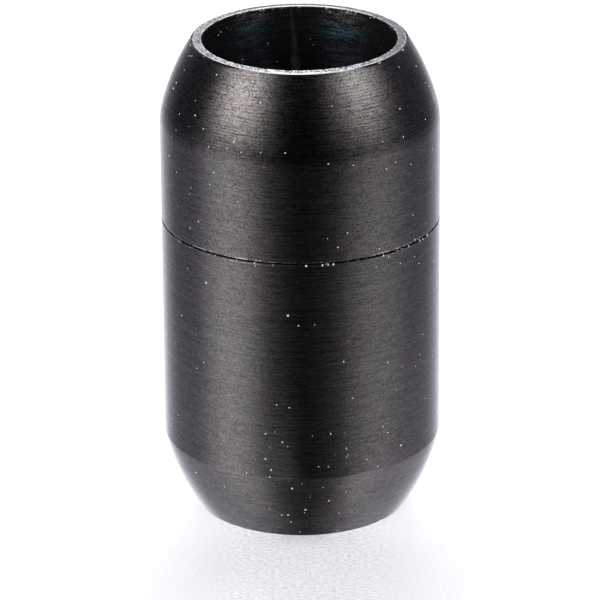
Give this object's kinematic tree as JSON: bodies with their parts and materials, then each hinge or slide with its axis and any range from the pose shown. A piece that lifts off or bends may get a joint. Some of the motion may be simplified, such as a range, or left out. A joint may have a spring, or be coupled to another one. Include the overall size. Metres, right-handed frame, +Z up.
{
  "type": "magnetic clasp",
  "caption": "Barrel-shaped magnetic clasp of black-plated steel with a glue-in hole in each end for a thick round cord; its halves pull straight apart.",
  "frame": {"origin": "centre of the foot, the flat face at the lower half's end", "axes": "+Z up the clasp's axis, from the lower half to the upper half; X and Y are free, because every piece is round about Z"},
  "size_m": [0.0116, 0.0116, 0.0205],
  "materials": {
    "black_steel": "black plating over fine turned lines, satin",
    "magnet_plating": "nickel plating, satin"
  },
  "bodies": {
    "lower_half": {"lower_shell": "black_steel", "lower_magnet": "magnet_plating"},
    "upper_half": {"upper_shell": "black_steel", "upper_magnet": "magnet_plating"}
  },
  "joints": [
    {"name": "pull_apart", "type": "slide", "parent": "lower_half", "child": "upper_half", "axis": [0, 0, 1], "range_m": [0, 0.01]}
  ]
}
